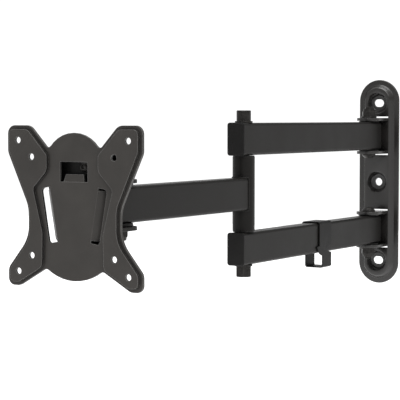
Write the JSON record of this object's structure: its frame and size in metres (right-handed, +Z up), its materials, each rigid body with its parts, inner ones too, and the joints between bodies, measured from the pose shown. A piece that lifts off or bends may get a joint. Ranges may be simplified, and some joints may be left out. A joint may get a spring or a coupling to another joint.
{
  "type": "full motion tv wall mount",
  "caption": "Black steel full motion television wall mount with a double rear arm, a single forearm and a swivelling, tilting quick-release plate.",
  "frame": {"origin": "centre of the wall plate's middle screw hole, on the wall face", "axes": "+Z up, +Y into the wall, so the arms reach out along -Y; +X to the right seen from the room"},
  "size_m": [0.1226, 0.566, 0.216],
  "materials": {
    "powder_coat": "satin black powder coat",
    "black_fasteners": "blackened steel",
    "zinc_steel": "zinc plated",
    "nylon": "black nylon",
    "black_plastic": "black moulded plastic"
  },
  "bodies": {
    "wall_bracket": {"wall_plate": "powder_coat", "upper_hinge_bracket": "powder_coat", "lower_hinge_bracket": "powder_coat", "wall_pivot_bolts": "black_fasteners", "wall_pivot_nuts": "black_fasteners", "wall_pivot_washers": "black_fasteners"},
    "rear_arm": {"rear_arm_upper": "powder_coat", "rear_arm_lower": "powder_coat", "wall_pivot_bushes": "nylon", "rear_cap_upper": "black_plastic", "rear_cap_lower": "black_plastic", "elbow_spacers": "zinc_steel", "elbow_bolt": "black_fasteners", "elbow_washers": "black_fasteners", "elbow_nut": "black_fasteners"},
    "forearm": {"elbow_column": "powder_coat", "elbow_bushes": "nylon", "forearm_tube": "powder_coat", "forearm_cap": "black_plastic", "head_bushes": "nylon"},
    "swivel_head": {"swivel_bracket": "powder_coat", "swivel_bolt": "black_fasteners", "swivel_washers": "black_fasteners", "swivel_nut": "black_fasteners", "tilt_yoke": "powder_coat", "tilt_friction_washers": "nylon"},
    "tilt_head": {"tilt_bracket": "powder_coat", "tilt_bolt": "black_fasteners", "tilt_nut": "black_fasteners", "tilt_washers": "black_fasteners", "release_channel": "powder_coat", "lock_screw": "black_fasteners", "vesa_plate": "powder_coat"},
    "cable_clip": {"cable_clip": "black_plastic"}
  },
  "joints": [
    {"name": "wall_swivel", "type": "hinge", "parent": "wall_bracket", "child": "rear_arm", "pos_m": [0, -0.028, 0], "axis": [0, 0, 1], "range_deg": [-90, 90]},
    {"name": "elbow_swivel", "type": "hinge", "parent": "rear_arm", "child": "forearm", "pos_m": [0, -0.3, 0], "axis": [0, 0, 1], "range_deg": [-145, 145]},
    {"name": "head_swivel", "type": "hinge", "parent": "forearm", "child": "swivel_head", "pos_m": [0, -0.502, 0], "axis": [0, 0, 1], "range_deg": [-90, 90]},
    {"name": "head_tilt", "type": "hinge", "parent": "swivel_head", "child": "tilt_head", "pos_m": [0, -0.537, 0], "axis": [1, 0, 0], "range_deg": [-15, 15]},
    {"name": "clip_slide", "type": "slide", "parent": "rear_arm", "child": "cable_clip", "axis": [0, 1, 0], "range_m": [-0.1, 0.07]}
  ]
}
